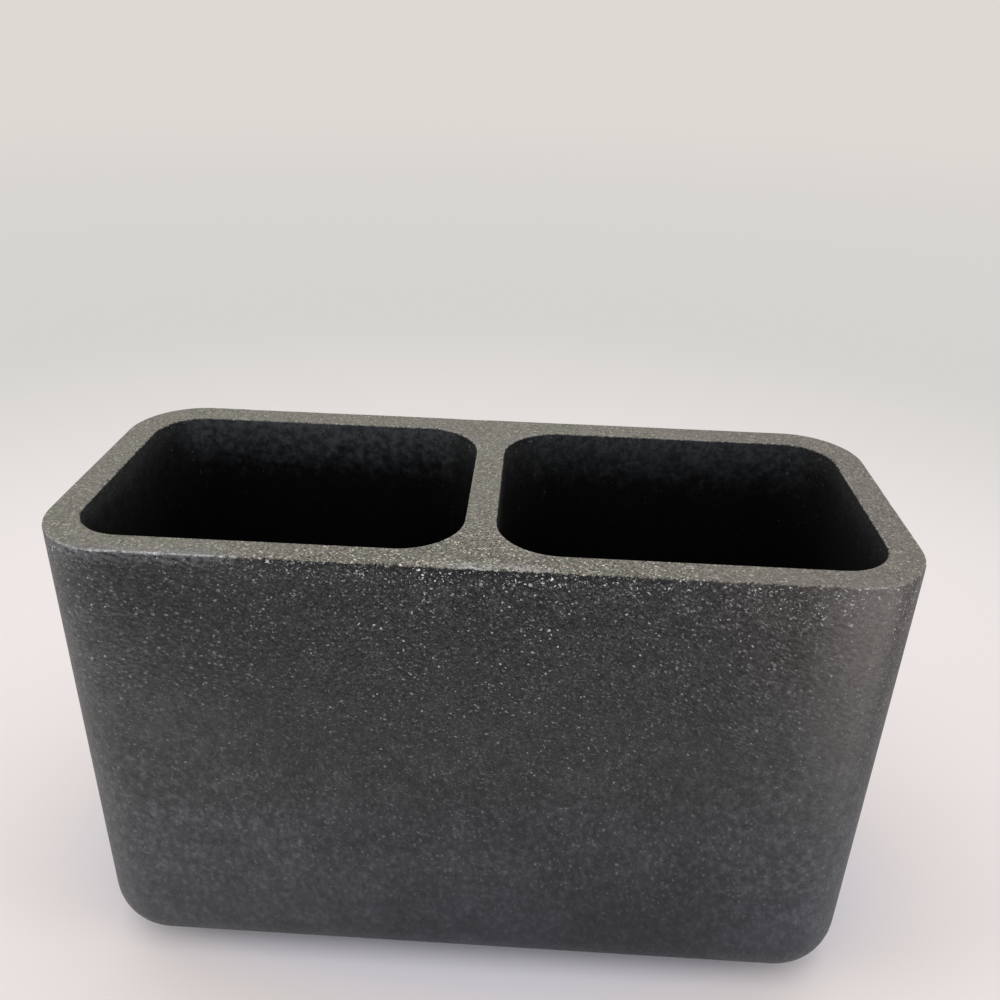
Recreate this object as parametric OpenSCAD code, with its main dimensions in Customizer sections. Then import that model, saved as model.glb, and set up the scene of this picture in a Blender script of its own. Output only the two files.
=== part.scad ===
// Toothbrush holder: one cast stone-effect block with two deep compartments, standing on four anti-slip pads.
// Millimetres, +Z up, +X along the block, the front face towards -Y. The origin is where the pads' middle stands.

/* [Block] */
// Length of the block
block_w = 120; // [100:1:150]
// Depth of the block from front to back
block_d = 50; // [48:0.5:64]
// Height of the block, without its pads
block_h = 76; // [60:1:110]
// Radius of the upright corners
corner_r = 11; // [10:0.5:15]
// Radius of the edge all round the base
base_edge_r = 9; // [3:0.5:9.5]
// Width of the broken edge along the outside of the rim
rim_edge = 0.3; // [0.2:0.1:1.2]

/* [Compartments] */
// Thickness of the end walls
end_wall = 4.6; // [3.5:0.1:6]
// Thickness of the front wall
front_wall = 4.3; // [3.5:0.1:6]
// Thickness of the back wall
back_wall = 4.8; // [3.5:0.1:6]
// Thickness of the wall between the compartments
septum_wall = 4.4; // [3.5:0.1:8]
// Thickness of the floor under the compartments
floor_thickness = 6; // [5:0.5:9]
// Radius of each compartment's corners at the end walls
end_pocket_r = 7.5; // [6:0.5:9]
// Radius of each compartment's corners at the wall between them
septum_pocket_r = 9.1; // [6:0.1:11]
// Radius of the edge round each compartment's floor
floor_edge_r = 4.5; // [2:0.5:5]
// Width of the broken edge round each compartment's mouth
mouth_edge = 0.3; // [0.2:0.1:1.2]

/* [Pads] */
// Diameter of each anti-slip pad
pad_d = 10; // [8:0.5:12]
// Thickness of each pad
pad_thickness = 1.5; // [1.2:0.1:2.5]
// How far each pad stands out under the base
pad_proud = 0.6; // [0.4:0.1:1]
// Radius of the edge round each pad's underside
pad_edge_r = 0.3; // [0.1:0.1:0.4]
// Gap all round a pad in its recess
pad_clearance = 0.3; // [0.1:0.1:0.5]
// Distance from a recess to the edge of the base's flat
pad_margin = 2.5; // [1.5:0.5:4]

/* [Hidden] */
$fn = 96;
// How far a cutter runs past the surface that it opens
overrun = 1;
base_z = pad_proud;
pocket_w = block_w / 2 - end_wall - septum_wall / 2;
pocket_d = block_d - front_wall - back_wall;
pocket_h = block_h - floor_thickness;
pocket_x = septum_wall / 2 + pocket_w / 2;
pocket_y = (front_wall - back_wall) / 2;
recess_depth = pad_thickness - pad_proud;
recess_d = pad_d + 2 * pad_clearance;
pad_x = block_w / 2 - base_edge_r - pad_margin - recess_d / 2;
pad_y = block_d / 2 - base_edge_r - pad_margin - recess_d / 2;

// Half section of the block, from its middle to its outside: round at the foot, with a broken edge at the rim
module block_section(reach) {
    intersection() {
        square([reach, block_h]);
        union() {
            square([reach - base_edge_r, block_h]);
            translate([reach - base_edge_r, base_edge_r]) circle(base_edge_r);
            polygon([
                [0, base_edge_r],
                [reach, base_edge_r],
                [reach, block_h - rim_edge],
                [reach - rim_edge, block_h],
                [0, block_h]
            ]);
        }
    }
}

// Half section of a compartment's cutter: round at the floor, spread by the mouth's broken edge at the top
module pocket_section(reach) {
    intersection() {
        square([reach + mouth_edge + overrun, pocket_h + overrun]);
        union() {
            square([reach - floor_edge_r, pocket_h]);
            translate([reach - floor_edge_r, floor_edge_r]) circle(floor_edge_r);
            polygon([
                [0, floor_edge_r],
                [reach, floor_edge_r],
                [reach, pocket_h - mouth_edge],
                [reach + mouth_edge + overrun, pocket_h + overrun],
                [0, pocket_h + overrun]
            ]);
        }
    }
}

// The half section that a swept block is made of
module section(kind, reach) {
    if (kind == "block") block_section(reach);
    if (kind == "pocket") pocket_section(reach);
}

// The quarter of a rounded block with positive X and Y: a straight run along each axis, and the turn that joins them
module block_quarter(kind, w, d, r) {
    x_run = w / 2 - r;
    y_run = d / 2 - r;
    rotate([90, 0, 90]) linear_extrude(x_run) section(kind, d / 2);
    translate([0, y_run, 0]) rotate([90, 0, 0]) linear_extrude(y_run) section(kind, w / 2);
    translate([x_run, y_run, 0]) rotate_extrude(angle = 90) section(kind, r);
}

// A rounded block whose corners have one radius on the left and one on the right
module swept_block(kind, w, d, left_r, right_r) {
    for (side = [0, 1]) {
        mirror([0, side, 0]) {
            block_quarter(kind, w, d, right_r);
            mirror([1, 0, 0]) block_quarter(kind, w, d, left_r);
        }
    }
}

// Moves a pad or its recess to one corner of the base
module pad_place(side_x, side_y) {
    translate([side_x * pad_x, side_y * pad_y, 0]) children();
}

// The cast block, hollowed by two compartments and with a shallow round recess for each pad
module body() {
    color([0.25, 0.25, 0.25])
    difference() {
        translate([0, 0, base_z]) swept_block("block", block_w, block_d, corner_r, corner_r);
        for (side = [0, 1]) {
            mirror([side, 0, 0])
            translate([pocket_x, pocket_y, base_z + floor_thickness])
            swept_block("pocket", pocket_w, pocket_d, septum_pocket_r, end_pocket_r);
        }
        for (side_x = [-1, 1], side_y = [-1, 1]) {
            pad_place(side_x, side_y) cylinder(d = recess_d, h = base_z + recess_depth);
        }
    }
}

// One anti-slip pad: a short disc whose lower edge is rounded
module pad(side_x, side_y) {
    color([0.12, 0.12, 0.12])
    pad_place(side_x, side_y)
    rotate_extrude() {
        square([pad_d / 2 - pad_edge_r, pad_thickness]);
        translate([0, pad_edge_r]) square([pad_d / 2, pad_thickness - pad_edge_r]);
        translate([pad_d / 2 - pad_edge_r, pad_edge_r]) circle(pad_edge_r);
    }
}

module pad_front_left() { pad(-1, -1); }
module pad_front_right() { pad(1, -1); }
module pad_back_left() { pad(-1, 1); }
module pad_back_right() { pad(1, 1); }

body();
pad_front_left();
pad_front_right();
pad_back_left();
pad_back_right();
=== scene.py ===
# %% [markdown]
# # A cast stone toothbrush holder
#
# The holder is one heavy block, cast from dark resin that is full of stone grains. Two deep compartments
# stand side by side in it, and four soft pads under the base keep it from scratching a washstand.
#
# The CAD model is loaded first, as a fixed frame. It gives every size and place, so nothing is fitted by eye
# here. Then each visible piece is made again with finer edges and a real finish, and stands in for its CAD
# solid.

# %% Load the frame
import math
from collections import namedtuple

import bmesh
import bpy
import mathutils
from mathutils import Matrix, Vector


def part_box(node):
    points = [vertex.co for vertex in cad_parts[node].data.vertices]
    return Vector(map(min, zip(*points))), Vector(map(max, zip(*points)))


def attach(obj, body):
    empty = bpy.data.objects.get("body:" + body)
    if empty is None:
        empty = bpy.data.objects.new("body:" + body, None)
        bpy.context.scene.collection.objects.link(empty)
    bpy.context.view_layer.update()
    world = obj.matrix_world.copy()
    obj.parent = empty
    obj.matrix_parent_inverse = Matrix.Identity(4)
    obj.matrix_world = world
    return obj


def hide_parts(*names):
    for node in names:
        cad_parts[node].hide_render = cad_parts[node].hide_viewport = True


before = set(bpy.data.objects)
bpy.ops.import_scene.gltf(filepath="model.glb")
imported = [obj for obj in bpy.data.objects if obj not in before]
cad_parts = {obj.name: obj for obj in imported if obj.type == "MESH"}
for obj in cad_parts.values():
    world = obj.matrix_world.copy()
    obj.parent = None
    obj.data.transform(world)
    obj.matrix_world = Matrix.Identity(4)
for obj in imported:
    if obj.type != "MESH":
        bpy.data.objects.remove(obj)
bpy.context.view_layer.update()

# %% [markdown]
# ## The camera
#
# The camera comes first, because every later choice is judged through it. It stands close above the holder
# and looks down at its front, as a hand-held phone does. A phone's lens is wide, so the near edges look
# larger than the far ones and the upright edges lean in towards the foot.
#
# It could be placed by moving it about. Its numbers come from a fit instead: the outlines of the block and of
# its openings were measured, and the camera that gives them was solved for.

# %% Camera
MM = 0.001
CAMERA_PLACE = (6.804, -129.502, 139.852)
CAMERA_TURNS = (62.989, -1.595, 2.873)
FOCAL_LENGTH, SENSOR_WIDTH = 34.575, 36
NEAREST, FARTHEST = 5, 20000

scene = bpy.context.scene
scene.view_settings.view_transform = "Standard"


def put_in_scene(name, data):
    thing = bpy.data.objects.new(name, data)
    scene.collection.objects.link(thing)
    return thing


lens = bpy.data.cameras.new("camera")
lens.lens, lens.sensor_width = FOCAL_LENGTH, SENSOR_WIDTH
lens.clip_start, lens.clip_end = NEAREST * MM, FARTHEST * MM
camera = put_in_scene("camera", lens)
camera.location = [place * MM for place in CAMERA_PLACE]
camera.rotation_euler = [math.radians(angle) for angle in CAMERA_TURNS]
scene.camera = camera
print("camera at", [round(c, 4) for c in camera.location])

# %% [markdown]
# ## Sizes
#
# All the sizes are named once, in millimetres. They are the CAD model's, apart from the lip's radius, which
# rounds off the CAD's straight broken edge. The frame can tell where each solid lies, so the block's sizes
# are compared with it here, and the pads' places are taken from it.

# %% Sizes of the block
BLOCK_W, BLOCK_D, BLOCK_H = 120, 50, 76
BASE_Z = 0.6
TOP_Z = BASE_Z + BLOCK_H
CORNER_R, FOOT_R, LIP_R = 11, 9, 0.35
END_WALL, FRONT_WALL, BACK_WALL, MIDDLE_WALL = 4.6, 4.3, 4.8, 4.4
FLOOR_THICKNESS = 6
FLOOR_Z = BASE_Z + FLOOR_THICKNESS
POCKET_END_R, POCKET_MIDDLE_R, POCKET_FLOOR_R, MOUTH_R = 7.5, 9.1, 4.5, 0.3
POCKET_W = BLOCK_W / 2 - END_WALL - MIDDLE_WALL / 2
POCKET_D = BLOCK_D - FRONT_WALL - BACK_WALL
POCKET_X = MIDDLE_WALL / 2 + POCKET_W / 2
POCKET_Y = (FRONT_WALL - BACK_WALL) / 2

low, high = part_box("body")
print("block in the frame, mm:", [round((b - a) / MM, 2) for a, b in zip(low, high)])
print("block as named, mm:", [BLOCK_W, BLOCK_D, BLOCK_H])

# %% Sizes of the pads
PAD_D, PAD_H, PAD_EDGE_R = 10, 1.5, 0.3
PAD_GAP = 0.3
RECESS_D = PAD_D + 2 * PAD_GAP
RECESS_EDGE_R = 0.2
low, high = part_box("pad_back_right")
PAD_X, PAD_Y = [(a + b) / 2 / MM for a, b in zip(low[:2], high[:2])]
print("a pad stands at", [round(PAD_X, 2), round(PAD_Y, 2)], "mm")

# %% [markdown]
# ## How the trees are written
#
# A node tree is a drawing of a calculation. It could be drawn by hand, but here it is written as calls, one
# for each node, so that it reads from top to bottom. An input that is fed with a number keeps it, and one
# that is fed with a node is linked to it. Geometry Nodes and shaders share this helper.


# %% A helper that writes node trees
class Wiring:
    """Writes a node tree as calls."""

    def __init__(self, tree):
        self.tree = tree

    def add(self, kind, feeds=None, **settings):
        """Adds a node and feeds its inputs. A kind that names no family is of the tree's own."""
        if "Node" not in kind:
            kind = self.tree.bl_idname.replace("Tree", kind)
        node = self.tree.nodes.new(kind)
        for name, value in settings.items():
            setattr(node, name, value)
        for name, value in (feeds or {}).items():
            self.feed(node.inputs[name], value)
        return node

    def feed(self, socket, value):
        """Links a socket to a node or to another socket, or else sets it to a plain value."""
        if isinstance(value, bpy.types.Node):
            value = next(out for out in value.outputs if out.enabled)
        if isinstance(value, bpy.types.NodeSocket):
            self.tree.links.new(value, socket)
        else:
            socket.default_value = value

    def use(self, tree, feeds=None):
        return self.add("Group", feeds, node_tree=tree)

    def calc(self, operation, *values):
        return self.add("ShaderNodeMath", dict(enumerate(values)), operation=operation)

    def times(self, first, *others):
        for other in others:
            first = self.calc("MULTIPLY", first, other)
        return first

    def vector(self, operation, *values):
        return self.add("ShaderNodeVectorMath", dict(enumerate(values)), operation=operation)

    def scaled(self, value, factor):
        return self.add("ShaderNodeVectorMath", {0: value, "Scale": factor}, operation="SCALE")

    def point(self, x, y, z):
        return self.add("ShaderNodeCombineXYZ", {"X": x, "Y": y, "Z": z})

    def split(self, value):
        return self.add("ShaderNodeSeparateXYZ", {"Vector": value}).outputs

    def ramp(self, value, start, end, low=0, high=1, kind="SMOOTHSTEP"):
        """Goes from low to high while the value goes from start to end."""
        feeds = {"Value": value, "From Min": start, "From Max": end, "To Min": low, "To Max": high}
        return self.add("ShaderNodeMapRange", feeds, interpolation_type=kind)


print("node helper ready")


# %% A helper that starts and ends a node group
def floats(*names):
    return dict.fromkeys(names, "Float")


def group(name, takes, gives, kind="GeometryNodeTree"):
    """Starts a node group with named sockets, and gives its wiring and the sockets that it takes."""
    tree = bpy.data.node_groups.new(name, kind)
    for side, sockets in (("INPUT", takes), ("OUTPUT", gives)):
        for socket_name, socket_kind in sockets.items():
            tree.interface.new_socket(socket_name, in_out=side, socket_type="NodeSocket" + socket_kind)
    return Wiring(tree), tree.nodes.new("NodeGroupInput").outputs


def close_group(w, results):
    w.add("NodeGroupOutput", results)
    print(f"{w.tree.name}: {len(w.tree.nodes)} nodes")
    return w.tree


print("node groups can be made")

# %% [markdown]
# ## The plan and the section
#
# Every wall of the holder follows one rule: a section is drawn once, and is carried round a plan. The plan
# is a rectangle with round corners, or a circle. The section is a standing line whose ends turn inwards or
# outwards, with a radius at each turn, which is how a mould maker thinks of a wall.
#
# It could be built with bevel modifiers on a box, but bevels of 9 mm at the foot and 0.35 mm at the lip would
# need weights of their own, and the unequal corners of the compartments would fight them.

# %% Plan: a rectangle with round corners
CORNER_STEPS = 48


def make_plan():
    sizes = floats("Width", "Depth", "Left Radius", "Right Radius", "Centre X", "Centre Y", "Spacing")
    w, i = group("plan with round corners", sizes, {"Plan": "Geometry"})
    sharp = w.add("CurvePrimitiveQuadrilateral", {"Width": i["Width"], "Height": i["Depth"]})
    x = w.split(w.add("InputPosition"))["X"]
    on_right = w.add("FunctionNodeCompare", {0: x, 1: 0.0}, data_type="FLOAT", operation="GREATER_THAN")
    radii = {"Switch": on_right, "False": i["Left Radius"], "True": i["Right Radius"]}
    radius = w.add("Switch", radii, input_type="FLOAT")
    turns = {"Curve": sharp, "Count": CORNER_STEPS, "Radius": radius, "Limit Radius": True}
    rounded = w.add("FilletCurve", turns, mode="POLY")
    even = w.add("ResampleCurve", {"Curve": rounded, "Length": i["Spacing"]}, mode="LENGTH")
    centre = w.point(i["Centre X"], i["Centre Y"], 0)
    moved = w.add("Transform", {"Geometry": even, "Translation": centre})
    return close_group(w, {"Plan": moved})


plan_group = make_plan()

# %% Section: a standing line that turns at its foot and at its lip
FOOT_STEPS, LIP_STEPS = 12, 6


def make_section():
    foot_and_lip = [end + part for end in ("Foot ", "Lip ") for part in ("Height", "Turn", "Radius")]
    w, i = group("wall section", floats(*foot_and_lip, "Strip", "Row Height"), {"Section": "Geometry"})
    index = w.add("InputIndex")

    def by_index(kind, values):
        chooser = w.add("IndexSwitch", {"Index": index}, data_type=kind)
        for _ in values[2:]:
            chooser.index_switch_items.new()
        for number, value in enumerate(values):
            w.feed(chooser.inputs[str(number)], value)
        return chooser

    # The sweep takes a section's X as outwards and its Y as downwards, so heights are negative here
    foot_y = w.times(i["Foot Height"], -1)
    lip_y = w.times(i["Lip Height"], -1)
    foot_x = w.times(i["Foot Turn"], w.calc("ADD", i["Foot Radius"], i["Strip"]))
    lip_x = w.times(i["Lip Turn"], w.calc("ADD", i["Lip Radius"], i["Strip"]))
    ends = ((foot_x, foot_y), (0, foot_y), (0, lip_y), (lip_x, lip_y))
    corners = [w.point(x, y, 0) for x, y in ends]
    straight = {"Curve": w.add("CurvePrimitiveLine"), "Count": len(corners)}
    four = w.add("ResampleCurve", straight, mode="COUNT")
    line = w.add("SetPosition", {"Geometry": four, "Position": by_index("VECTOR", corners)})
    radius = by_index("FLOAT", [0.0, i["Foot Radius"], i["Lip Radius"], 0.0])
    steps = by_index("INT", [1, FOOT_STEPS, LIP_STEPS, 1])
    turned = w.add("FilletCurve", {"Curve": line, "Radius": radius, "Count": steps}, mode="POLY")
    # Only the long straight run is cut into rows: the cuts on a piece are its length over the row height
    here = w.add("InputPosition")
    next_point = {"Value": here, "Index": w.calc("ADD", index, 1)}
    following = w.add("FieldAtIndex", next_point, data_type="FLOAT_VECTOR", domain="POINT")
    length = w.vector("DISTANCE", here, following).outputs["Value"]
    cuts = w.calc("DIVIDE", length, i["Row Height"])
    return close_group(w, {"Section": w.add("SubdivideCurve", {"Curve": turned, "Cuts": cuts})})


section_group = make_section()


# %% Wall: the section carried round the plan
def make_wall():
    takes = {"Plan": "Geometry", "Section": "Geometry", "Outer": "Bool"}
    w, i = group("swept wall", takes, {"Wall": "Geometry"})
    level = w.add("SetCurveNormal", {"Curve": i["Plan"]}, mode="Z_UP")
    sweep = w.add("CurveToMesh", {"Curve": level, "Profile Curve": i["Section"]})
    # The sweep's faces look towards the middle, as a compartment's do, so an outer wall's are turned
    return close_group(w, {"Wall": w.add("FlipFaces", {"Mesh": sweep, "Selection": i["Outer"]})})


wall_group = make_wall()

# %% [markdown]
# ## Closing the flats
#
# A swept wall ends in open loops, one at each height where a flat begins. The flats are filled from those
# very loops, so their points match the walls' and can be welded. A loop that lies inside another stays open,
# which is how the rim gets its two mouths and the base gets its four recesses.
#
# Each flat could be drawn by hand. Choosing the open edges by their height does all of them alike.

# %% Flat: every open loop at one height, filled
SAME_HEIGHT = 0.01


def make_flat():
    takes = {"Walls": "Geometry", "Height": "Float", "Facing Down": "Bool"}
    w, i = group("flat at a height", takes, {"Walls": "Geometry"})
    faces = w.add("InputMeshEdgeNeighbors")
    is_open = w.add("FunctionNodeCompare", {2: faces, 3: 1}, data_type="INT", operation="EQUAL")
    z = w.split(w.add("InputPosition"))["Z"]
    heights = {0: z, 1: i["Height"], "Epsilon": SAME_HEIGHT * MM}
    near = w.add("FunctionNodeCompare", heights, data_type="FLOAT", operation="EQUAL")
    both = w.add("FunctionNodeBooleanMath", {0: is_open, 1: near}, operation="AND")
    loops = w.add("MeshToCurve", {0: i["Walls"], "Selection": both})
    fill = w.add("FillCurve", {"Curve": loops}, mode="TRIANGLES")
    turned = w.add("FlipFaces", {"Mesh": fill, "Selection": i["Facing Down"]})
    raised = w.add("Transform", {"Geometry": turned, "Translation": w.point(0, 0, i["Height"])})
    joined = w.add("JoinGeometry", {0: i["Walls"]})
    w.feed(joined.inputs[0], raised)
    return close_group(w, {"Walls": joined})


flat_group = make_flat()

# %% [markdown]
# ## Wear along the rim
#
# Cast stone chips and rubs at its sharp outer rim, where brushes and hands knock it. The lip is pushed in by
# up to 0.16 mm, unevenly, and never outwards, because the block must stay inside its CAD box.
#
# It could be sculpted, but a rule fits a holder of any size. The rule needs the distance from the rim's outer
# edge. On the wall that is the depth below the rim, and on the rim it is the distance in from the outline, so
# the larger of the two serves everywhere.


# %% Distance to an outline with round corners, for both kinds of tree
def make_outline_distance(kind):
    takes = {"Position": "Vector", **floats("Centre X", "Centre Y", "Half Width", "Half Depth", "Radius")}
    w, i = group("distance to an outline, " + kind, takes, floats("Distance"), kind)
    place = w.split(i["Position"])
    reach = []
    for axis, centre, half in (("X", "Centre X", "Half Width"), ("Y", "Centre Y", "Half Depth")):
        across = w.calc("ABSOLUTE", w.calc("SUBTRACT", place[axis], i[centre]))
        reach.append(w.calc("SUBTRACT", across, w.calc("SUBTRACT", i[half], i["Radius"])))
    corner = w.point(w.calc("MAXIMUM", reach[0], 0), w.calc("MAXIMUM", reach[1], 0), 0)
    outside = w.vector("LENGTH", corner).outputs["Value"]
    inside = w.calc("MINIMUM", w.calc("MAXIMUM", *reach), 0)
    return close_group(w, {"Distance": w.calc("SUBTRACT", w.calc("ADD", outside, inside), i["Radius"])})


geometry_distance = make_outline_distance("GeometryNodeTree")
shader_distance = make_outline_distance("ShaderNodeTree")

# %% Wear: the lip pushed in, unevenly
RUBS_PER_MM, NICKS_PER_MM = 0.11, 0.55
SEED_SHIFT = 0.37


def make_rim_wear():
    sizes = floats("Width", "Depth", "Corner Radius", "Top", "Wear", "Reach")
    w, i = group("rim wear", {"Block": "Geometry", **sizes, "Seed": "Int"}, {"Block": "Geometry"})
    place = w.add("InputPosition")
    outline = {"Half " + name: w.times(i[name], 0.5) for name in ("Width", "Depth")}
    outline.update({"Position": place, "Radius": i["Corner Radius"]})
    inwards = w.times(w.use(geometry_distance, outline), -1)
    below_top = w.calc("SUBTRACT", i["Top"], w.split(place)["Z"])
    near_edge = w.ramp(w.calc("MAXIMUM", inwards, below_top), i["Reach"], 0)

    def noise(per_mm, detail):
        shift = w.times(i["Seed"], SEED_SHIFT)
        feeds = {"Vector": place, "W": shift, "Scale": per_mm / MM, "Detail": detail}
        return w.add("ShaderNodeTexNoise", feeds, noise_dimensions="4D").outputs[0]

    rubbed = w.ramp(noise(RUBS_PER_MM, 3), 0.42, 0.7)
    nicked = w.ramp(noise(NICKS_PER_MM, 2), 0.5, 0.75, 0.15, 1)
    amount = w.times(w.times(rubbed, nicked), w.times(near_edge, i["Wear"]))
    push = w.scaled(w.add("InputNormal"), w.times(amount, -1))
    return close_group(w, {"Block": w.add("SetPosition", {"Geometry": i["Block"], "Offset": push})})


wear_group = make_rim_wear()

# %% [markdown]
# ## The cast block
#
# Now the whole casting is one tree: the outer wall, the two compartments, the four recesses for the pads, and
# the flats that close them. The points are welded, the lip is worn, and the tree ends in Realize Instances
# and Set Material, so that nothing in it is left as an instance.
#
# It could be modelled by hand, but here all its sizes are named inputs, so a smaller holder is only another
# set of numbers.

# %% Shapes that the block and the pads share
WELD = 0.005
RECESS_POINTS, PAD_POINTS = 64, 72


def circle(w, width, points):
    return w.add("CurvePrimitiveCircle", {"Resolution": points, "Radius": w.times(width, 0.5)})


def four_corners(w, x, y):
    """A rectangle whose corners lie at x and y to both sides."""
    return w.add("CurvePrimitiveQuadrilateral", {"Width": w.times(x, 2), "Height": w.times(y, 2)})


def welded(w, shape):
    return w.add("MergeByDistance", {"Geometry": shape, "Distance": WELD * MM})


print("points closer than", WELD, "mm are welded")

# %% Tree of the cast block
BLOCK_SIZES = {
    "Width": BLOCK_W, "Depth": BLOCK_D, "Base Height": BASE_Z, "Top Height": TOP_Z,
    "Corner Radius": CORNER_R, "Foot Radius": FOOT_R, "Lip Radius": LIP_R,
    "Pocket Width": POCKET_W, "Pocket Depth": POCKET_D, "Pocket X": POCKET_X, "Pocket Y": POCKET_Y,
    "Pocket Floor Height": FLOOR_Z, "Pocket Floor Radius": POCKET_FLOOR_R, "Mouth Radius": MOUTH_R,
    "Pocket End Radius": POCKET_END_R, "Pocket Middle Radius": POCKET_MIDDLE_R,
    "Recess Width": RECESS_D, "Recess Height": PAD_H, "Recess Edge Radius": RECESS_EDGE_R,
    "Recess X": PAD_X, "Recess Y": PAD_Y,
    "Strip": 0.5, "Spacing": 0.7, "Row Height": 2, "Wear": 0.16, "Wear Reach": 1.4,
}


def make_block_tree():
    takes = {**floats(*BLOCK_SIZES), "Seed": "Int", "Stone": "Material"}
    w, i = group("cast block", takes, {"Block": "Geometry"})
    joined = w.add("JoinGeometry")

    def same(*names):
        return {name: i[name] for name in names}

    def section(foot, foot_turn, foot_radius, lip, lip_turn, lip_radius):
        feeds = {"Foot Height": i[foot], "Foot Turn": foot_turn, "Foot Radius": i[foot_radius]}
        feeds.update({"Lip Height": i[lip], "Lip Turn": lip_turn, "Lip Radius": i[lip_radius]})
        return w.use(section_group, {**feeds, **same("Strip", "Row Height")})

    def wall(plan, section_of_wall, outer=False):
        return w.use(wall_group, {"Plan": plan, "Section": section_of_wall, "Outer": outer})

    outer = {"Left Radius": i["Corner Radius"], "Right Radius": i["Corner Radius"]}
    outer = w.use(plan_group, {**outer, **same("Width", "Depth", "Spacing")})
    outer_section = section("Base Height", -1, "Foot Radius", "Top Height", -1, "Lip Radius")
    w.feed(joined.inputs[0], wall(outer, outer_section, outer=True))

    inner_section = section("Pocket Floor Height", -1, "Pocket Floor Radius", "Top Height", 1, "Mouth Radius")
    for side, left, right in ((-1, "End", "Middle"), (1, "Middle", "End")):
        plan = {"Width": i["Pocket Width"], "Depth": i["Pocket Depth"], "Spacing": i["Spacing"]}
        plan.update({"Centre X": w.times(i["Pocket X"], side), "Centre Y": i["Pocket Y"]})
        plan.update({"Left Radius": i[f"Pocket {left} Radius"], "Right Radius": i[f"Pocket {right} Radius"]})
        w.feed(joined.inputs[0], wall(w.use(plan_group, plan), inner_section))

    edge = "Recess Edge Radius"
    recess_section = section("Base Height", 1, edge, "Recess Height", -1, edge)
    recess = wall(circle(w, i["Recess Width"], RECESS_POINTS), recess_section)
    places = four_corners(w, i["Recess X"], i["Recess Y"])
    recesses = w.add("InstanceOnPoints", {"Points": places, "Instance": recess})
    w.feed(joined.inputs[0], w.add("RealizeInstances", {"Geometry": recesses}))

    shape = joined
    for height in ("Base Height", "Recess Height", "Pocket Floor Height", "Top Height"):
        down = height in ("Base Height", "Recess Height")
        shape = w.use(flat_group, {"Walls": shape, "Height": i[height], "Facing Down": down})
    worn = {"Block": welded(w, shape), "Top": i["Top Height"], "Reach": i["Wear Reach"]}
    worn = w.use(wear_group, {**worn, **same("Width", "Depth", "Corner Radius", "Wear", "Seed")})
    smooth = w.add("SetShadeSmooth", {"Geometry": worn})
    whole = {"Geometry": w.add("RealizeInstances", {"Geometry": smooth}), "Material": i["Stone"]}
    return close_group(w, {"Block": w.add("SetMaterial", whole)})


block_tree = make_block_tree()
print("sizes that can be set:", len(BLOCK_SIZES))

# %% [markdown]
# ## From a tree to a plain mesh
#
# A modifier's input is set by the identifier of its socket, before the object is evaluated for the first
# time. The result is then copied to a plain mesh, which any program can read, and the helper object with its
# modifier goes away. A closed mesh has an inside and an outside, so its faces are turned outwards at the end.


# %% Run a tree and keep its result
def grown(name, tree, values):
    """Gives an object whose plain mesh is what the tree makes from the values."""
    helper = put_in_scene(name + ".helper", bpy.data.meshes.new(name + ".helper"))
    modifier = helper.modifiers.new("tree", "NODES")
    modifier.node_group = tree
    for item in tree.interface.items_tree:
        if item.item_type == "SOCKET" and item.in_out == "INPUT":
            modifier[item.identifier] = values[item.name]
    graph = bpy.context.evaluated_depsgraph_get()
    result = helper.evaluated_get(graph)
    mesh = bpy.data.meshes.new_from_object(result, preserve_all_data_layers=True, depsgraph=graph)
    bpy.data.objects.remove(helper)
    mesh.name = name
    turn_outwards(mesh)
    return put_in_scene(name, mesh)


def turn_outwards(mesh):
    """Turns every face outwards, and prints how sound the mesh is."""
    shape = bmesh.new()
    shape.from_mesh(mesh)
    before = [face.normal.copy() for face in shape.faces]
    bmesh.ops.recalc_face_normals(shape, faces=shape.faces)
    turned = sum(1 for old, face in zip(before, shape.faces) if old.dot(face.normal) < 0)
    open_edges = sum(1 for edge in shape.edges if not edge.is_manifold)
    volume = shape.calc_volume() / MM ** 3
    shape.to_mesh(mesh)
    shape.free()
    triangles = sum(len(face.vertices) - 2 for face in mesh.polygons)
    print(f"{mesh.name}: {triangles} triangles, {open_edges} open edges, {turned} turned, {volume:.0f} mm3")


print("the result of a tree can be kept")

# %% [markdown]
# ## The stone
#
# The casting is dark resin filled with grains of stone. On its moulded faces the resin closes over most
# grains, so the colour is charcoal, and only some of them shine through: a few white ones, more grey ones,
# and a fine haze. The rim has been ground flat, which cuts through the grains, so it is lighter, warmer and
# as lively as sand.
#
# A photo could be wrapped round the block, but it would stretch at the corners and repeat. A solid pattern is
# right here, because real grains lie in the stone as points in space and each surface cuts through them.
# Everything below reads Object coordinates, turned into millimetres.


# %% One kind of grain, cut by the surface
def make_grains():
    takes = {"Position": "Vector", **floats("Grains per mm", "Radius", "Softness")}
    w, i = group("stone grains", takes, floats("Cover", "Chance"), "ShaderNodeTree")
    per_mm = i["Grains per mm"]
    cells = w.add("TexVoronoi", {"Vector": i["Position"], "Scale": per_mm, "Randomness": 1})
    away = w.calc("DIVIDE", cells.outputs["Distance"], per_mm)
    numbers = w.add("SeparateColor", {"Color": cells.outputs["Color"]}).outputs
    # The largest grains of a kind have 1.2 times its radius, and the smallest have half of it
    size = w.times(i["Radius"], w.calc("MULTIPLY_ADD", numbers["Green"], 0.7, 0.5))
    core = w.times(size, w.calc("SUBTRACT", 1, i["Softness"]))
    return close_group(w, {"Cover": w.ramp(away, size, core), "Chance": numbers["Red"]})


grains_group = make_grains()


# %% Where a point lies on the block
def place_in_mm(w):
    return w.scaled(w.add("TexCoord").outputs["Object"], 1 / MM)


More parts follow.
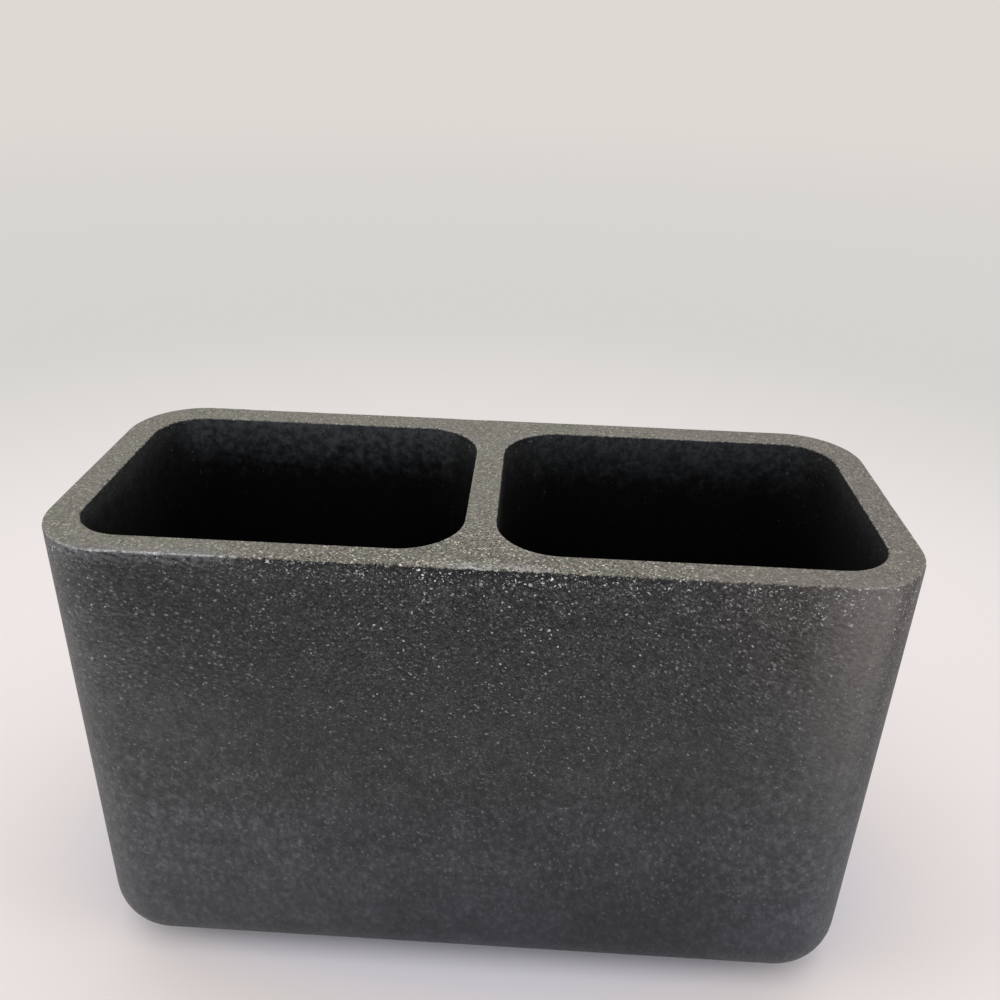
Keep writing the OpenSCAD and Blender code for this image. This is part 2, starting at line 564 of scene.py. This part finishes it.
def make_places():
    gives = {"Position": "Vector", **floats("Depth", "From Edge", "From Mouth", "Inside")}
    w, _ = group("places on the block", {}, gives, "ShaderNodeTree")
    place = place_in_mm(w)
    parts = w.split(place)
    depth = w.calc("SUBTRACT", TOP_Z, parts["Z"])
    block = {"Position": place, "Half Width": BLOCK_W / 2, "Half Depth": BLOCK_D / 2, "Radius": CORNER_R}
    inwards = w.times(w.use(shader_distance, block), -1)
    # The compartments mirror each other, so one outline serves both, with X taken as positive
    folded = w.point(w.calc("ABSOLUTE", parts["X"]), parts["Y"], 0)
    pocket = {"Position": folded, "Centre X": POCKET_X, "Centre Y": POCKET_Y}
    pocket.update({"Half Width": POCKET_W / 2, "Half Depth": POCKET_D / 2})
    pocket["Radius"] = (POCKET_END_R + POCKET_MIDDLE_R) / 2
    pocket = w.use(shader_distance, pocket)
    # The compartments' finish ends 2 to 3 mm under their floors, so it stays off the underside
    above_base = w.ramp(parts["Z"], FLOOR_Z - 3, FLOOR_Z - 2)
    results = {"Position": place, "Depth": depth, "Inside": w.times(w.ramp(pocket, 1.2, 0.4), above_base)}
    results["From Edge"] = w.calc("MAXIMUM", inwards, depth)
    results["From Mouth"] = w.calc("MAXIMUM", pocket, depth)
    return close_group(w, results)


places_group = make_places()


# %% A wiring that can mix colours
def grey(value, warmth=0):
    """A grey that leans to yellow with positive warmth and to blue with negative."""
    return (value * (1 + warmth), value, value * (1 - 1.6 * warmth), 1.0)


def new_material(name):
    material = bpy.data.materials.new(name)
    material.use_nodes = True
    material.node_tree.nodes.clear()
    return material


class ShaderWiring(Wiring):
    """A wiring that can also make noise, mix colours and end a material."""

    def noise(self, place, scale, detail=2, roughness=0.5, result="Fac"):
        feeds = {"Vector": place, "Scale": scale, "Detail": detail, "Roughness": roughness}
        return self.add("TexNoise", feeds).outputs[result]

    def mixed(self, share, first, second, blend="MIX"):
        """Mixes two colours by a share. Either may be a colour or a node."""
        node = self.add("Mix", {0: share}, data_type="RGBA", blend_type=blend)
        colours = [socket for socket in node.inputs if socket.type == "RGBA"]
        for socket, value in zip(colours, (first, second)):
            self.feed(socket, value)
        return next(socket for socket in node.outputs if socket.type == "RGBA")

    def tinted(self, colour, tint, share=1):
        return self.mixed(share, colour, tint, "MULTIPLY")

    def dimmed(self, share, by):
        """Gives 1 where the share is 0, and as much less as is said where it is 1."""
        return self.calc("MULTIPLY_ADD", share, -by, 1)

    def surface(self, colour, rough, height, strength, relief, shine):
        """Ends a material in one shader. The relief is how many millimetres the bump stands for."""
        bump = self.add("Bump", {"Height": height, "Strength": strength, "Distance": relief * MM})
        feeds = {"Base Color": colour, "Roughness": rough, "Normal": bump, "Specular IOR Level": shine}
        self.add("OutputMaterial", {"Surface": self.add("BsdfPrincipled", feeds)})


print("colours can be mixed")

# %% [markdown]
# ## How the resin moved
#
# The resin was poured, it sagged, and its face was wiped before it set, so grains high on the block lie along
# the wiping, and those low on it are drawn out downwards. Crushed stone also has ragged outlines.
#
# Each grain could have a shape of its own. It is simpler to bend the space that the pattern lies in: a round
# grain in a stretched and shaken space comes out long and ragged. This wiring keeps those spaces ready, and
# knows where on the block each point lies.

# %% Kinds of grain
Grain = namedtuple("Grain", "per_mm radius softness shine rarity shade")

DEEP = Grain(1.3, 0.36, 1.0, 1.0, 1.7, grey(0.17))
LEVEL = Grain(1.5, 0.26, 0.7, 0.6, 2.0, grey(0.3))
SMALL = Grain(2.1, 0.125, 0.6, 0.8, 2.5, grey(0.42, 0.01))
LARGE = Grain(1.0, 0.18, 0.5, 1.0, 2.5, grey(0.95, 0.015))
CROWDED = Grain(2.6, 0.135, 0.5, 1.0, 2.0, grey(0.97, 0.015))
RARE = Grain(0.8, 0.23, 0.5, 1.0, 2.4, grey(0.97, 0.015))
INNER = Grain(1.2, 0.22, 0.8, 0.6, 2.5, grey(0.14, -0.03))

# Chips lie packed side by side. Each shade starts at a share of them, counted from the darkest
SKIN_CHIPS_PER_MM, RIM_CHIPS_PER_MM = 4.6, 4.8
SKIN_SHADES = (
    (0, 0.006), (0.2, 0.02), (0.5, 0.042), (0.8, 0.066), (0.93, 0.11), (0.98, 0.2), (0.995, 0.45), (1, 0.9),
)
RIM_SHADES = ((0, 0.02), (0.2, 0.08), (0.5, 0.155), (0.8, 0.215), (0.94, 0.37), (1, 0.8))
print("the rarest kind of grain:", RARE)


# %% A wiring that knows the block
class StoneWiring(ShaderWiring):
    """A wiring for the stone, with the places on the block and the ways that its resin moved."""

    def __init__(self, tree):
        super().__init__(tree)
        spot = self.use(places_group).outputs
        self.position, self.depth, self.from_edge, self.from_mouth, self.inside = spot
        self.x, self.y, self.z = self.split(self.position)
        self.across = self.calc("ABSOLUTE", self.x)
        # Crushed grains are bent a little by a fine noise, and the raggedest by a coarse one as well
        self.fine_push, self.coarse_push = self.shaken(5, 0.34), self.shaken(2.6, 0.85)
        self.bent = self.vector("ADD", self.position, self.fine_push)
        self.torn = self.vector("ADD", self.bent, self.coarse_push)
        # The resin was wiped level at the left, and falling to the right
        slant = self.times(self.x, self.ramp(self.x, 2, 46, 0.1, 0.32))
        self.wiped_z = self.calc("ADD", self.z, slant)
        leaning = self.calc("MULTIPLY_ADD", self.z, 0.12, self.x)
        self.sagged = self.point(leaning, self.y, self.times(self.z, 0.75))

    def shaken(self, per_mm, reach):
        """A push that turns every way, from a noise with so many bumps a millimetre."""
        bumps = self.noise(self.position, per_mm, result="Color")
        return self.scaled(self.vector("SUBTRACT", bumps, (0.5, 0.5, 0.5)), reach)

    def wiped(self, along, over):
        """The position, drawn out along the way that the resin was wiped."""
        flat = [self.times(part, along) for part in (self.x, self.y)]
        return self.vector("ADD", self.point(*flat, self.times(self.wiped_z, over)), self.fine_push)

    def cloud(self, per_mm, detail, roughness, where=None):
        return self.noise(where or self.position, per_mm, detail, roughness)

    def chips(self, per_mm, shades, where):
        """Gives the chips' colour, and a chance number of each chip."""
        cells = self.add("TexVoronoi", {"Vector": where, "Scale": per_mm, "Randomness": 1})
        numbers = self.add("SeparateColor", {"Color": cells.outputs["Color"]}).outputs
        shade = self.add("ValToRGB", {"Fac": numbers["Red"]})
        steps = shade.color_ramp.elements
        while len(steps) < len(shades):
            steps.new(1.0)
        for step, (share, value) in zip(steps, shades):
            step.position = share
            step.color = grey(value, 0.01)
        return shade.outputs["Color"], numbers["Green"]

    def cover(self, grain, strength, where=None):
        """Where one kind of grain shows. Most of a kind are dim, and few are as bright as its shade."""
        feeds = {"Position": where or self.bent, "Grains per mm": grain.per_mm}
        feeds.update({"Radius": grain.radius, "Softness": grain.softness})
        found = self.use(grains_group, feeds).outputs
        odds = self.times(self.calc("POWER", found["Chance"], grain.rarity), grain.shine)
        return self.times(found["Cover"], odds, strength)

    def scattered(self, colour, grain, strength, where=None):
        return self.mixed(self.cover(grain, strength, where), colour, grain.shade)


print("the stone's wiring is ready")

# %% [markdown]
# ## The moulded skin
#
# Under the rim the skin is dark and lively with grains, and towards the foot it becomes calm and a little
# bluer.
# Painted light makes its ends paler than its middle, and a painted highlight runs down its upright corner at
# the front right. Its mottle lies in short streaks high up, and in soft blots low down.
#
# One noise for the whole face would look like wallpaper. So the skin is laid in layers: charcoal resin, chips
# that show through it, the tone of each region with its painted light, and the grains on top.


# %% How freely the grains show
def shares_of_skin(w):
    """How freely grains show on the face, how closed its upper left is, and how crowded its top is."""
    closed = w.times(w.ramp(w.depth, 26, 8), w.ramp(w.x, -12, -26), w.ramp(w.x, -50, -38))
    lively = w.calc("POWER", w.ramp(w.depth, 68, 2, kind="LINEAR"), 1.6)
    ends = w.times(lively, w.ramp(w.x, -8, -52, 1, 0.45), w.ramp(w.x, 8, 50, 1, 0.45))
    lively = w.times(ends, w.dimmed(closed, 0.14))
    middle_rim = w.times(w.ramp(w.depth, 4.5, 0.8), w.ramp(w.across, 8, 44, 1, 0.35))
    right_rim = w.times(w.ramp(w.depth, 9, 1), w.ramp(w.x, 24, 40, 0, 0.8), w.ramp(w.y, -12, -22))
    return lively, closed, w.calc("MAXIMUM", middle_rim, right_rim)


def mottling(w):
    """Gives the blots of the lower face, the streaks of the upper face, and the mottle that both make."""
    blots = w.cloud(0.95, 5, 0.72, w.sagged)
    streaks = w.cloud(1.1, 2, 0.5, w.wiped(0.95, 1.75))
    mottle = w.add("Mix", {0: w.ramp(w.depth, 14, 38), 2: streaks, 3: blots}).outputs[0]
    return blots, streaks, mottle


print("the face has its regions")

# %% Plain skin, and its tone in each region
RESIN, RESIN_CLOUDED, RESIN_DARK, RESIN_PALE = grey(0.045), grey(0.052), grey(0.025), grey(0.1)
COOL, BROWN = (0.98, 1, 1.16, 1), (1.15, 1.04, 0.97, 1)
CORNER_HIGHLIGHT_PALE = grey(0.15, 0.05)


def plain_skin(w, mottle):
    skin = w.mixed(w.ramp(w.cloud(0.07, 3, 0.55), 0.35, 0.65), RESIN, RESIN_CLOUDED)
    calm = w.times(w.ramp(w.depth, 48, 72, 1, 0.5), w.ramp(w.across, 50, 59, 1, 0.5))
    skin = w.mixed(w.times(w.ramp(mottle, 0.32, 0.52, 0.75, 0), calm), skin, RESIN_DARK)
    return w.mixed(w.times(w.ramp(mottle, 0.48, 0.7, 0, 0.85), calm), skin, RESIN_PALE)


def toned_skin(w, skin, closed, streaks):
    # Painted light: the ends are paler than the middle, as the turning corners catch light from the sides, on
    # the left more so towards the foot
    left_start = w.ramp(w.depth, 5, 55, 45, 4, "LINEAR")
    left = w.ramp(w.times(w.x, -1), left_start, 58, 0, 0.54)
    right = w.times(w.ramp(w.x, 30, 52, 0, 0.4), w.ramp(w.x, 53, 59, 1, 0.6))
    tone = w.calc("ADD", w.calc("MAXIMUM", left, right), w.ramp(w.depth, 6, 28, 0.73, 0.8))
    # Low on the right the skin is darker, and high on the left the closed skin is darker too
    darker_low_right = w.times(w.ramp(w.x, 2, 22), w.ramp(w.x, 53, 40), w.ramp(w.depth, 42, 64))
    patches = w.ramp(w.cloud(0.26, 3, 0.55), 0.32, 0.68, 0.91, 1.09)
    tone = w.times(tone, w.dimmed(darker_low_right, 0.22), w.dimmed(closed, 0.1), patches)
    skin = w.tinted(skin, w.point(w.times(tone, 0.97), tone, tone))
    cool = w.times(w.ramp(w.depth, 24, 66), w.ramp(w.x, -55, 10, 0.4, 0.95))
    brown = w.times(w.ramp(w.x, 20, 46), w.ramp(w.depth, 30, 2, kind="LINEAR"), w.ramp(w.y, -10, -20))
    skin = w.tinted(w.tinted(skin, COOL, cool), BROWN, brown)
    # A soft highlight is painted down the upright corner at the front right, palest at the top and fading
    # towards the foot
    fading = w.calc("POWER", w.ramp(w.depth, 62, 0, kind="LINEAR"), 2)
    corner_highlight = w.times(w.ramp(w.x, 42, 52), w.ramp(w.y, -22.6, -24.5), fading)
    corner_highlight = w.times(corner_highlight, w.ramp(streaks, 0.35, 0.65, 0.7, 1))
    return w.mixed(corner_highlight, skin, CORNER_HIGHLIGHT_PALE)


print("resin tints:", COOL[:3], BROWN[:3])

# %% Grains laid over the skin
PITCH = grey(0.009)


def laid_grains(w, skin, lively, crowded):
    # Deeper grains only glow through: low on the face as soft upright smears, high at the ends as level ones
    low_down = w.times(w.ramp(w.depth, 22, 42), w.ramp(w.depth, 72, 46, 0.1, 1))
    upright = w.vector("ADD", w.sagged, w.vector("ADD", w.fine_push, w.coarse_push))
    skin = w.scattered(skin, DEEP, low_down, upright)
    high_up = w.times(w.ramp(w.depth, 34, 16), w.ramp(w.across, 10, 34))
    skin = w.scattered(skin, LEVEL, high_up, w.wiped(0.8, 1.15))
    on_right = w.times(w.ramp(w.x, 22, 44, 0, 0.25), w.ramp(w.depth, 42, 6))
    skin = w.scattered(skin, SMALL, w.calc("ADD", w.calc("POWER", lively, 1.6), on_right))
    # Right under the rim the resin is nearly black, and there the pale flecks are crowded
    pitch = w.times(w.ramp(w.depth, 2.1, 0.3), w.ramp(w.cloud(2.2, 2, 0.6), 0.36, 0.6, 0.25, 0.9))
    skin = w.mixed(w.times(pitch, w.ramp(w.across, 10, 38, 1, 0.1)), skin, PITCH)
    large = w.cover(LARGE, w.times(lively, lively), w.torn)
    skin = w.mixed(large, skin, LARGE.shade)
    for grain in (CROWDED, RARE):
        skin = w.scattered(skin, grain, crowded, w.torn)
    return skin, large


print("pitch under the rim:", PITCH[:3])

# %% [markdown]
# ## Inside the compartments
#
# The core of the mould leaves a closed skin inside, with few grains. Under the mouths it is stained a blotchy
# blue grey, and a painted shade soon turns it black, more so in the corners. Deep down it is plain charcoal.
#
# The painted shade has no smooth edge: a noise moves the depth at which the skin darkens, by several
# millimetres, which gives the stained band its ragged lower edge.

# %% The compartments' skin and painted shade
INNER_TOP = (0.046, 0.051, 0.053, 1)
INNER_PAINTED_SHADE, INNER_CORNER_SHADE = grey(0.0015, -0.1), grey(0.001)


def compartment_skin(w, plain):
    # Painted shade: below a ragged depth the skin goes over into black, more so in the corners, and the right
    # compartment is painted darker
    ragged = w.calc("SUBTRACT", w.cloud(0.45, 4, 0.7), 0.5)
    shaded_depth = w.calc("MULTIPLY_ADD", ragged, -14, w.depth)
    skin = w.mixed(w.ramp(shaded_depth, 0, 10.5), INNER_TOP, INNER_PAINTED_SHADE)
    skin = w.mixed(w.ramp(w.x, -12, 14, 0, 0.4), skin, INNER_PAINTED_SHADE)
    skin = w.mixed(w.ramp(w.across, 49, 54, 0, 0.85), skin, INNER_CORNER_SHADE)
    skin = w.mixed(w.ramp(w.across, 10, 4, 0, 0.8), skin, INNER_CORNER_SHADE)
    stains = w.ramp(w.cloud(0.8, 3, 0.7), 0.35, 0.65, 0.5, 1.45)
    skin = w.tinted(skin, w.point(stains, stains, stains))
    skin = w.mixed(w.ramp(w.depth, 30, 52, 0, 0.9), skin, plain)
    return w.scattered(skin, INNER, w.ramp(w.depth, 26, 3))


print("the compartments start at", INNER_TOP[:3])

# %% [markdown]
# ## The ground rim and its edges
#
# Grinding cuts the chips open, so the rim runs from black resin to pale stone, in greenish and reddish
# patches. It is rawest at the middle of the front, and towards the ends dust has dulled it. Its outer edge
# carries a pale line, partly rubbed wear and partly a painted highlight, brightest at the left of the front,
# where the holder is picked up and set down. There a soft sheen is also painted on the face just under the
# edge. In the middle the rim's own side of the edge is scuffed, and elsewhere the line comes and goes. Round
# each mouth the edge has a faint painted highlight.
#
# The line could be a band of one width, but wear and its highlight are never even. Its width and its
# brightness each follow a noise, so it breaks up as real wear does.

# %% The ground rim
DUST_DARK, DUST_PALE = grey(0.15), grey(0.22)
GREENISH, REDDISH, WARM = (1.07, 1.05, 0.81, 1), (1.12, 1.02, 0.84, 1), (1.02, 0.94, 0.77, 1)


def ground_rim(w):
    colour, _ = w.chips(RIM_CHIPS_PER_MM, RIM_SHADES, w.bent)
    dull = w.calc("MAXIMUM", w.ramp(w.y, -20.5, -6), w.ramp(w.across, 14, 44))
    dust = w.calc("ADD", w.ramp(w.cloud(0.35, 3, 0.6), 0.3, 0.75, 0, 0.3), w.times(dull, 0.45))
    colour = w.mixed(dust, colour, w.mixed(w.ramp(w.cloud(2.2, 2, 0.6), 0.38, 0.62), DUST_DARK, DUST_PALE))
    tint = w.mixed(w.ramp(w.cloud(0.45, 3, 0.65), 0.4, 0.6), GREENISH, REDDISH)
    return w.tinted(colour, w.mixed(w.ramp(w.x, 22, 45), tint, WARM))


print("rim tints:", GREENISH[:3], REDDISH[:3], WARM[:3])

# %% The edges: wear and painted highlights
LEFT_RUB_AND_SHEEN_X, MIDDLE_RUB_X = -44, 3
PAINTED_SHEEN, SCUFF, MOUTH_EDGE_HIGHLIGHT = grey(0.2, -0.03), grey(0.5, 0.02), grey(0.45, 0.02)


def rubbed_edges(w, colour, ground, mottle):
    def near(x, start, end):
        return w.ramp(w.calc("ABSOLUTE", w.calc("SUBTRACT", w.x, x)), start, end)

    front = w.ramp(w.y, -20, -24)
    left = w.times(front, near(LEFT_RUB_AND_SHEEN_X, 18, 8))
    middle = w.times(front, near(MIDDLE_RUB_X, 10, 3))
    right = w.times(front, w.ramp(w.x, 45, 52, 0, 0.7))
    elsewhere = w.ramp(w.cloud(0.09, 2, 0.5), 0.45, 0.7, 0, 0.45)
    patches = w.calc("MAXIMUM", elsewhere, w.calc("MAXIMUM", left, right))
    scuffs = w.calc("MULTIPLY_ADD", patches, 0.2, w.cloud(1.5, 4, 0.8))
    width = w.calc("MULTIPLY_ADD", w.cloud(0.6, 2, 0.6), 0.75, w.calc("MULTIPLY_ADD", left, 0.1, -0.13))
    line = w.times(w.ramp(w.from_edge, width, w.times(width, 0.25)), w.ramp(scuffs, 0.58, 0.8))
    # Painted sheen: just under the left of the front edge the face is painted a soft pale blue
    sheen_under_edge = w.times(w.ramp(w.from_edge, 2.4, 0.2), w.times(left, w.ramp(mottle, 0.35, 0.6)))
    colour = w.mixed(w.times(sheen_under_edge, 0.4), colour, PAINTED_SHEEN)
    scuffed = w.times(middle, w.times(ground, w.ramp(w.cloud(1.6, 3, 0.7), 0.42, 0.62)))
    scuffed = w.times(scuffed, w.ramp(w.from_edge, 2.2, 0.5))
    colour = w.mixed(w.times(scuffed, 0.6), colour, SCUFF)
    # The pale line is partly rubbed wear and partly a painted highlight, and glint sets its brightness
    glint = w.ramp(w.cloud(3.2, 2, 0.7), 0.45, 0.65, 0.38, 0.75)
    colour = w.mixed(line, colour, w.point(glint, glint, glint))
    # The edge round each mouth is a hair paler: a painted highlight where its rounded corner catches the
    # light
    mouth = w.times(w.ramp(w.from_mouth, 0.35, 0.1), w.ramp(w.from_mouth, -0.5, -0.1))
    mouth = w.times(mouth, w.ramp(w.cloud(0.7, 3, 0.7), 0.4, 0.6, 0, 0.2))
    return w.mixed(mouth, colour, MOUTH_EDGE_HIGHLIGHT)


print("the front edge is rubbed most at X =", LEFT_RUB_AND_SHEEN_X, "and", MIDDLE_RUB_X, "mm")

# %% [markdown]
# ## The whole stone
#
# The layers now come together. The border between the skin and the ground rim wanders by a few tenths of a
# millimetre, as grinding leaves it. Grains stand a little proud and the surface is finely torn, which could
# be displaced geometry, but both are far too small for the mesh, so they are a bump.


# %% Stone
def make_stone():
    material = new_material("cast_stone")
    w = StoneWiring(material.node_tree)
    lively, closed, crowded = shares_of_skin(w)
    blots, streaks, mottle = mottling(w)
    plain = plain_skin(w, mottle)
    chips, chance = w.chips(SKIN_CHIPS_PER_MM, SKIN_SHADES, w.wiped(0.92, 1.06))
    skin = toned_skin(w, w.mixed(w.times(lively, 0.95), plain, chips), closed, streaks)
    skin, large = laid_grains(w, skin, lively, crowded)
    inside = w.times(w.inside, w.ramp(w.depth, 0.5, 5, 0.84, 1))
    skin = w.mixed(inside, skin, compartment_skin(w, plain))

    border = w.calc("MULTIPLY_ADD", w.cloud(1.9, 3, 0.7), 0.9, w.calc("SUBTRACT", w.depth, 0.45))
    ground = w.ramp(border, 0.22, 0.08)
    colour = rubbed_edges(w, w.mixed(ground, skin, ground_rim(w)), ground, mottle)

    tearing = w.calc("MULTIPLY_ADD", lively, 0.4, 0.25)
    height = w.calc("MULTIPLY_ADD", w.cloud(3.4, 2, 0.65), tearing, w.times(blots, 0.8))
    height = w.calc("MULTIPLY_ADD", large, 0.6, height)
    rough = w.calc("MAXIMUM", w.ramp(chance, 0, 1, 0.42, 0.62), w.times(ground, 0.72))
    rough = w.calc("MAXIMUM", rough, w.times(w.inside, 0.85))
    w.surface(colour, rough, height, strength=0.4, relief=0.1, shine=0.15)
    return material


stone = make_stone()
print("cast_stone:", len(stone.node_tree.nodes), "nodes")

# %% Grow the cast block
WEAR_SEED, PADS_SEED = 4, 7


def in_metres(sizes):
    return {name: float(size * MM) for name, size in sizes.items()}


block = grown("cast_block", block_tree, {**in_metres(BLOCK_SIZES), "Seed": WEAR_SEED, "Stone": stone})

# %% [markdown]
# ## The pads
#
# Each pad is a disc of soft rubber, glued into a shallow round recess. Its lower edge is rounded, its face
# is matt and slightly dusty, and it stands 0.6 mm out of the base. No one places four pads by hand exactly
# alike, so each is turned and shifted by a hair, from a fixed seed.
#
# It could be a cylinder, but the block's section and wall give it its round edges too.

# %% Tree of the pads
PAD_SIZES = {
    "Pad Width": PAD_D, "Pad Height": PAD_H, "Edge Radius": PAD_EDGE_R,
    "Place X": PAD_X, "Place Y": PAD_Y, "Strip": 0.4, "Row Height": 0.4, "Play": 0.08,
}


def make_pads_tree():
    takes = {**floats(*PAD_SIZES), "Seed": "Int", "Rubber": "Material"}
    w, i = group("anti-slip pads", takes, {"Pads": "Geometry"})
    lip_radius = w.times(i["Edge Radius"], 0.4)
    section = {"Foot Height": 0, "Foot Turn": -1, "Foot Radius": i["Edge Radius"]}
    section.update({"Lip Height": i["Pad Height"], "Lip Turn": -1, "Lip Radius": lip_radius})
    section = w.use(section_group, {**section, "Strip": i["Strip"], "Row Height": i["Row Height"]})
    plan = circle(w, i["Pad Width"], PAD_POINTS)
    disc = w.use(wall_group, {"Plan": plan, "Section": section, "Outer": True})
    for height, down in ((0, True), (i["Pad Height"], False)):
        disc = w.use(flat_group, {"Walls": disc, "Height": height, "Facing Down": down})

    def chance(kind, low, high, salt):
        node = w.add("FunctionNodeRandomValue", data_type=kind)
        sockets = [socket for socket in node.inputs if socket.enabled]
        for socket, value in zip(sockets, (low, high)):
            w.feed(socket, value)
        w.feed(node.inputs["Seed"], w.calc("ADD", i["Seed"], salt))
        return node

    turn = w.add("FunctionNodeEulerToRotation", {0: w.point(0, 0, chance("FLOAT", 0, math.tau, 1))})
    places = four_corners(w, i["Place X"], i["Place Y"])
    pads = w.add("InstanceOnPoints", {"Points": places, "Instance": disc, "Rotation": turn})
    hair = w.scaled(chance("FLOAT_VECTOR", (-1, -1, 0), (1, 1, 0), 2), i["Play"])
    shift = {"Instances": pads, "Translation": hair, "Local Space": False}
    whole = w.add("RealizeInstances", {"Geometry": w.add("TranslateInstances", shift)})
    smooth = w.add("SetShadeSmooth", {"Geometry": welded(w, whole)})
    finished = w.add("SetMaterial", {"Geometry": smooth, "Material": i["Rubber"]})
    return close_group(w, {"Pads": finished})


pads_tree = make_pads_tree()

# %% Soft black rubber
RUBBER, RUBBER_BLOOM = grey(0.018), grey(0.034, 0.02)
RUBBER_DUST, RUBBER_WORN = grey(0.32, 0.04), grey(0.085, 0.03)


def make_rubber():
    material = new_material("pad_rubber")
    w = ShaderWiring(material.node_tree)
    place = place_in_mm(w)
    bloom = w.ramp(w.noise(place, 0.5, 4, 0.6), 0.35, 0.75)
    colour = w.mixed(bloom, RUBBER, RUBBER_BLOOM)
    specks = w.add("TexVoronoi", {"Vector": place, "Scale": 1.6, "Randomness": 1})
    colour = w.mixed(w.ramp(specks.outputs["Distance"], 0.09, 0.04, 0, 0.7), colour, RUBBER_DUST)
    tread = w.times(w.ramp(w.split(place)["Z"], 0.1, 0), w.ramp(w.noise(place, 0.9, 3, 0.6), 0.4, 0.7))
    colour = w.mixed(w.times(tread, 0.5), colour, RUBBER_WORN)
    height = w.calc("MULTIPLY_ADD", w.noise(place, 6), 0.6, w.noise(place, 1.2))
    w.surface(colour, w.ramp(bloom, 0, 1, 0.6, 0.78), height, strength=0.35, relief=0.06, shine=0.4)
    return material


rubber = make_rubber()
print("pad_rubber:", len(rubber.node_tree.nodes), "nodes")

# %% Grow the pads
pads = grown("anti_slip_pads", pads_tree, {**in_metres(PAD_SIZES), "Seed": PADS_SEED, "Rubber": rubber})

# %% [markdown]
# ## The floor and the light
#
# The holder stands on a plain pale table in a bright room. Most of the light comes from above and from
# behind, so the rim is the brightest part, the front lies in soft shade, and a soft grey shadow spreads
# forwards from the foot. The pale room shows as a faint sheen where the upright corners turn away.
#
# The floor is one large sheet with no wall behind it, so the holder can be looked at from every side.

# %% What lies behind the holder
BACKDROP, BACKDROP_LOW = (0.73, 0.695, 0.655, 1), (0.67, 0.655, 0.635, 1)


def seen_directly(w):
    """Gives 1 to rays that end in a picture or a shiny surface, and 0 to those that only carry light."""
    path = w.add("LightPath").outputs
    seen = w.calc("MAXIMUM", path["Is Camera Ray"], path["Is Glossy Ray"])
    return w.calc("MAXIMUM", seen, path["Is Transmission Ray"])


print("backdrop colour:", BACKDROP[:3])

# %% Floor
FLOOR_REACH = 15
TABLE, TABLE_CLOUDED, TABLE_SHADOW_TINT = (0.83, 0.765, 0.705, 1), (0.87, 0.8, 0.74, 1), (0.84, 0.81, 0.83, 1)


def make_table():
    """A pale table, in metres. Far away it goes over into the backdrop, so no horizon shows."""
    material = bpy.data.materials.new("pale_table")
    material.use_nodes = True
    w = ShaderWiring(material.node_tree)
    place = w.add("TexCoord").outputs["Object"]
    away = w.vector("LENGTH", place).outputs["Value"]
    from_foot = w.vector("LENGTH", w.vector("MULTIPLY", place, (0.45, 1, 1))).outputs["Value"]
    colour = w.mixed(w.noise(place, 6), TABLE, TABLE_CLOUDED)
    # Painted shadow tint: near the foot the table is painted cooler and a little paler, as the colour of the
    # holder's shadow
    colour = w.mixed(w.ramp(from_foot, 0.037, 0.024), colour, TABLE_SHADOW_TINT)
    shader = material.node_tree.nodes["Principled BSDF"]
    for name, value in (("Base Color", colour), ("Roughness", 0.6), ("Specular IOR Level", 0.3)):
        w.feed(shader.inputs[name], value)
    tone = w.mixed(w.ramp(away, 0.25, 1.6), BACKDROP_LOW, BACKDROP)
    glow = w.add("Emission", {"Color": tone, "Strength": 1})
    share = w.times(w.ramp(away, 0.08, 0.36), seen_directly(w))
    blended = w.add("MixShader", {0: share, 1: shader, 2: glow})
    w.feed(material.node_tree.nodes["Material Output"].inputs["Surface"], blended)
    return material


def make_floor():
    mesh = bpy.data.meshes.new("floor")
    corners = [(-1, -1), (1, -1), (1, 1), (-1, 1)]
    mesh.from_pydata([(x * FLOOR_REACH, y * FLOOR_REACH, 0) for x, y in corners], [], [(0, 1, 2, 3)])
    mesh.materials.append(make_table())
    return put_in_scene("floor", mesh)


floor = make_floor()
print("floor made")

# %% Lamps
LAMPS_AIM = (0, 0, 0.04)


def hang_lamp(name, place, width, depth, power, colour):
    """Hangs a flat soft lamp, turned towards the holder. Its place and sizes are in metres."""
    light = bpy.data.lights.new(name, "AREA")
    light.shape = "RECTANGLE"
    light.size, light.size_y = width, depth
    light.energy, light.color = power, colour
    lamp = put_in_scene(name, light)
    lamp.location = place
    away = mathutils.Vector([a - b for a, b in zip(LAMPS_AIM, place)])
    lamp.rotation_euler = away.to_track_quat("-Z", "Y").to_euler()


hang_lamp("sky_above", (0, -0.12, 1.2), 1.2, 1.2, 3.7, (1, 0.965, 0.92))
hang_lamp("right_fill", (0.9, -0.15, 0.2), 0.5, 0.4, 3.6, (1, 0.97, 0.95))
hang_lamp("left_fill", (-0.9, -0.15, 0.2), 0.5, 0.4, 4.2, (1, 0.97, 0.94))
print("lamps:", len(bpy.data.lights))

# %% The pale room
ROOM_COLOUR, ROOM_STRENGTH = (0.94, 0.97, 1.09, 1), 0.75


def make_room():
    world = bpy.data.worlds.new("pale_room")
    world.use_nodes = True
    w = Wiring(world.node_tree)
    room = world.node_tree.nodes["Background"]
    w.feed(room.inputs["Color"], ROOM_COLOUR)
    w.feed(room.inputs["Strength"], ROOM_STRENGTH)
    behind = w.add("Background", {"Color": BACKDROP, "Strength": 1})
    blended = w.add("MixShader", {0: seen_directly(w), 1: room, 2: behind})
    w.feed(world.node_tree.nodes["World Output"].inputs["Surface"], blended)
    return world


scene.world = make_room()
print("room strength:", ROOM_STRENGTH)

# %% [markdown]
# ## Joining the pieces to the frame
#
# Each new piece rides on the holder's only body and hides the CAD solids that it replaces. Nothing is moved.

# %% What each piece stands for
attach(block, "root")
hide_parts("body")
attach(pads, "root")
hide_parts("pad_front_left", "pad_front_right", "pad_back_left", "pad_back_right")
